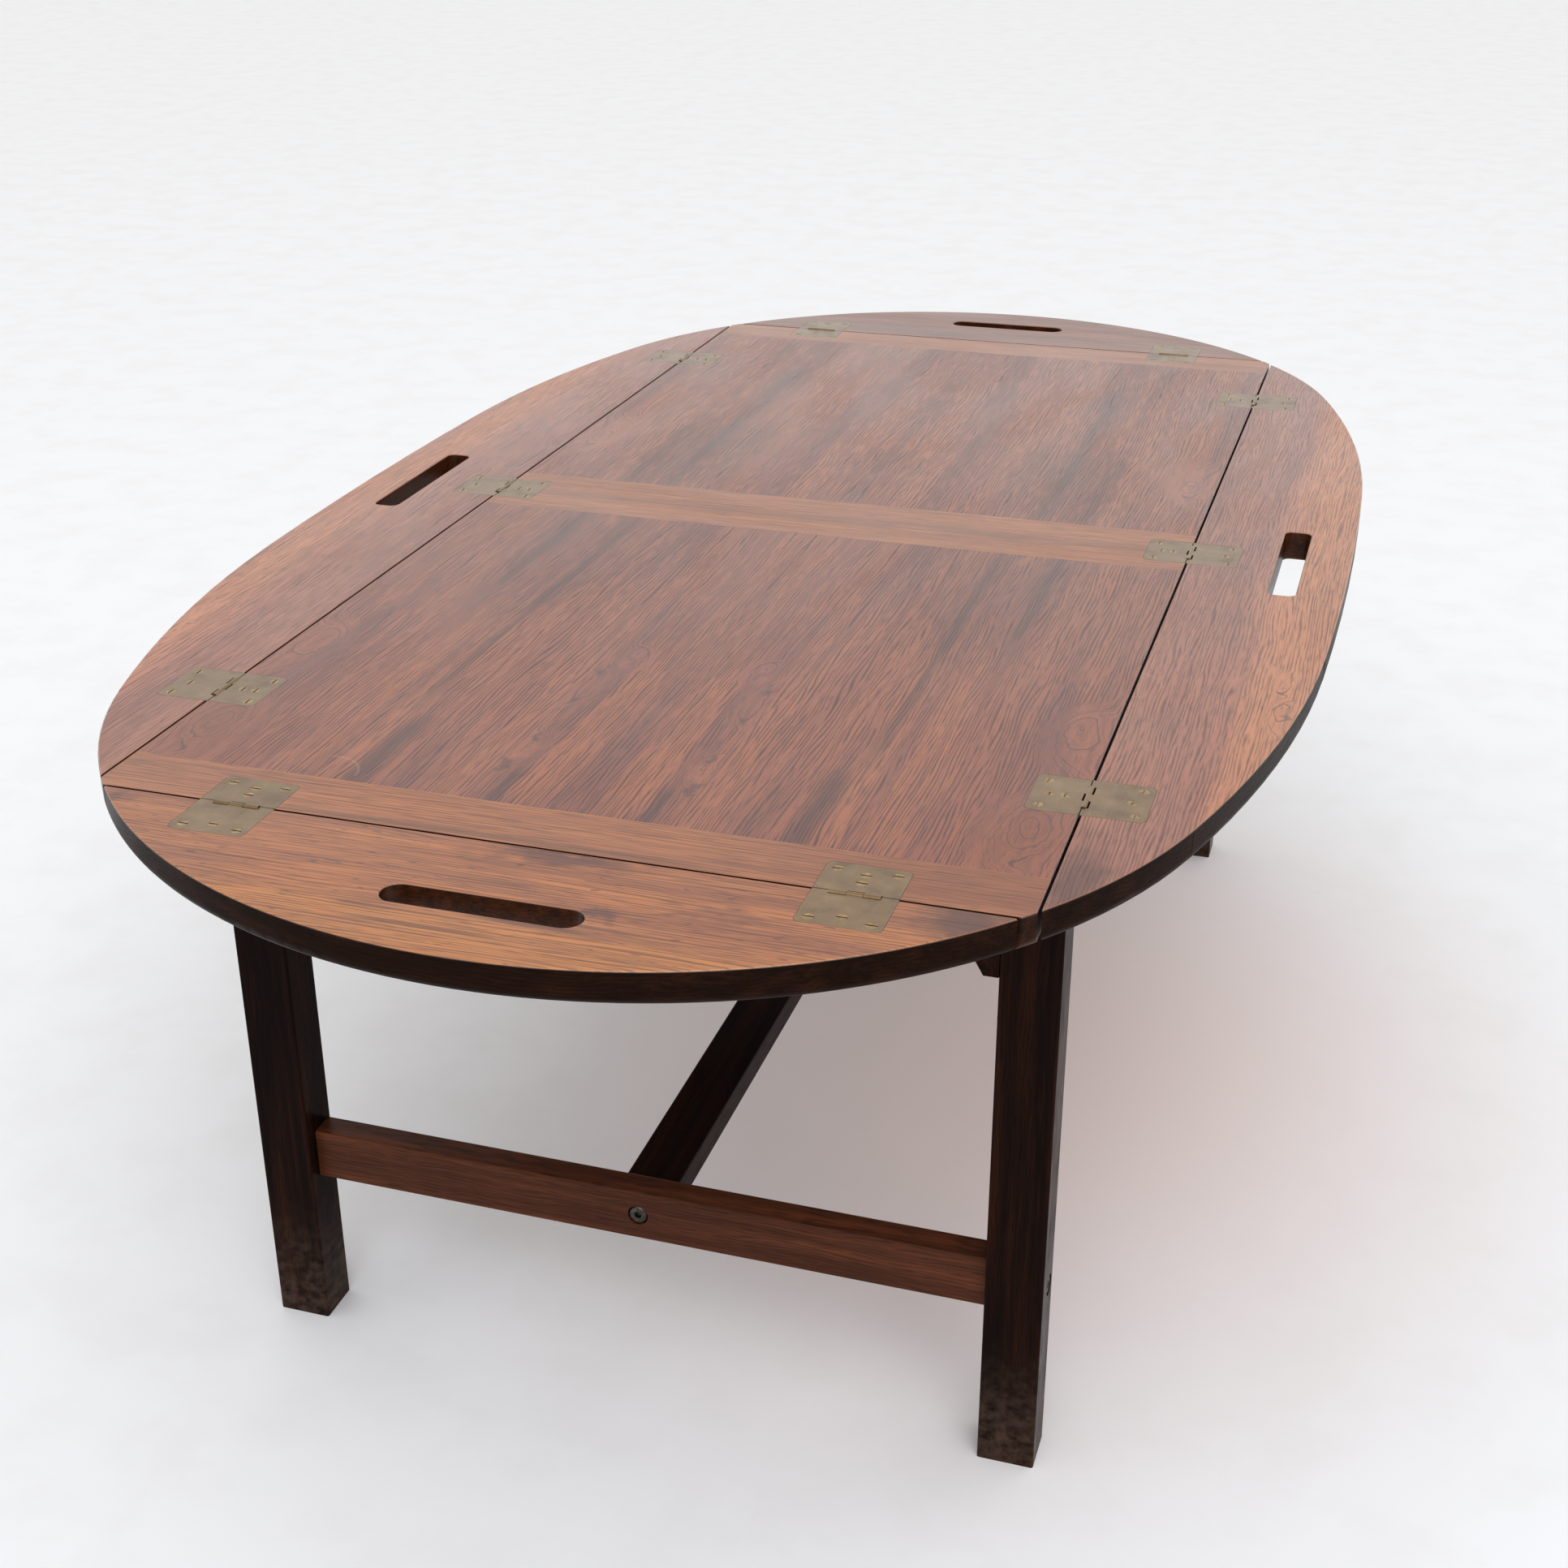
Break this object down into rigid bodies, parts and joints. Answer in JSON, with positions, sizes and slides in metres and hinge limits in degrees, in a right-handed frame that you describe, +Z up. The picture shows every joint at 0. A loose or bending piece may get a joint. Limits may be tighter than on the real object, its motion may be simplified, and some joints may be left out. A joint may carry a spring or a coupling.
{
  "type": "butler tray table",
  "caption": "Low oval coffee table: a rectangular tray with hinged flaps and hand slots all round, resting on a bolted stand of square legs and H-shaped stretchers.",
  "frame": {"origin": "on the floor, under the middle of the table, midway between its four feet", "axes": "+X across the table to its right long side, +Y along the table to its back end, +Z up"},
  "size_m": [0.8, 1.4358, 0.481],
  "materials": {
    "rosewood_veneer": "satin lacquer, red brown with dark streaks along the table",
    "cross_band_veneer": "satin lacquer, orange brown with the grain across the table",
    "flap_veneer": "satin lacquer, red brown, streaked",
    "backing_veneer": "thin matt lacquer",
    "core_board": "raw board, stained dark where a slot is cut through it",
    "dark_rim": "satin lacquer, near black brown",
    "tray_edge_wood": "satin lacquer",
    "dark_rosewood": "satin lacquer, very dark brown",
    "red_rosewood": "satin lacquer, mid red brown",
    "aged_brass": "satin, olive with age",
    "worn_brass": "rubbed brighter on top",
    "dark_steel": "burnished, dark",
    "beech": "raw, fluted"
  },
  "bodies": {
    "stand": {"leg_front_left": "dark_rosewood", "leg_front_right": "dark_rosewood", "leg_back_left": "dark_rosewood", "leg_back_right": "dark_rosewood", "end_stretcher_front": "red_rosewood", "end_stretcher_back": "red_rosewood", "long_stretcher": "dark_rosewood", "side_rail_left": "dark_rosewood", "side_rail_right": "dark_rosewood", "end_rail_front": "dark_rosewood", "end_rail_back": "dark_rosewood", "leg_bolts": "dark_steel", "stretcher_bolts": "dark_steel", "barrel_nuts": "dark_steel", "rail_screws": "worn_brass", "rail_dowels": "beech"},
    "tray": {"tray_core": "core_board", "tray_lipping_left": "tray_edge_wood", "tray_lipping_right": "tray_edge_wood", "tray_lipping_front": "tray_edge_wood", "tray_lipping_back": "tray_edge_wood", "tray_veneer_front": "rosewood_veneer", "tray_veneer_back": "rosewood_veneer", "cross_band_front": "cross_band_veneer", "cross_band_middle": "cross_band_veneer", "cross_band_back": "cross_band_veneer", "tray_underside": "backing_veneer", "tray_batten_front": "tray_edge_wood", "tray_batten_back": "tray_edge_wood", "batten_screws": "worn_brass", "tray_leaves_front": "aged_brass", "tray_leaves_back": "aged_brass", "tray_leaves_left": "aged_brass", "tray_leaves_right": "aged_brass", "hinge_pins": "aged_brass", "tray_leaf_screws": "worn_brass"},
    "front_flap": {"front_flap_core": "core_board", "front_flap_lipping": "dark_rim", "front_flap_veneer": "flap_veneer", "front_flap_underside": "backing_veneer", "front_flap_leaves": "aged_brass", "front_flap_screws": "worn_brass"},
    "back_flap": {"back_flap_core": "core_board", "back_flap_lipping": "dark_rim", "back_flap_veneer": "flap_veneer", "back_flap_underside": "backing_veneer", "back_flap_leaves": "aged_brass", "back_flap_screws": "worn_brass"},
    "left_flap": {"left_flap_core": "core_board", "left_flap_lipping": "dark_rim", "left_flap_veneer": "flap_veneer", "left_flap_underside": "backing_veneer", "left_flap_leaves": "aged_brass", "left_flap_screws": "worn_brass"},
    "right_flap": {"right_flap_core": "core_board", "right_flap_lipping": "dark_rim", "right_flap_veneer": "flap_veneer", "right_flap_underside": "backing_veneer", "right_flap_leaves": "aged_brass", "right_flap_screws": "worn_brass"}
  },
  "joints": [
    {"name": "tray_lift", "type": "slide", "parent": "stand", "child": "tray", "axis": [0, 0, 1], "range_m": [0, 0.12]},
    {"name": "front_flap_hinge", "type": "hinge", "parent": "tray", "child": "front_flap", "pos_m": [0, -0.594, 0.4792], "axis": [-1, 0, 0], "range_deg": [0, 90]},
    {"name": "back_flap_hinge", "type": "hinge", "parent": "tray", "child": "back_flap", "pos_m": [0, 0.594, 0.4792], "axis": [1, 0, 0], "range_deg": [0, 90]},
    {"name": "left_flap_hinge", "type": "hinge", "parent": "tray", "child": "left_flap", "pos_m": [-0.282, 0, 0.4792], "axis": [0, 1, 0], "range_deg": [0, 90]},
    {"name": "right_flap_hinge", "type": "hinge", "parent": "tray", "child": "right_flap", "pos_m": [0.282, 0, 0.4792], "axis": [0, -1, 0], "range_deg": [0, 90]}
  ]
}
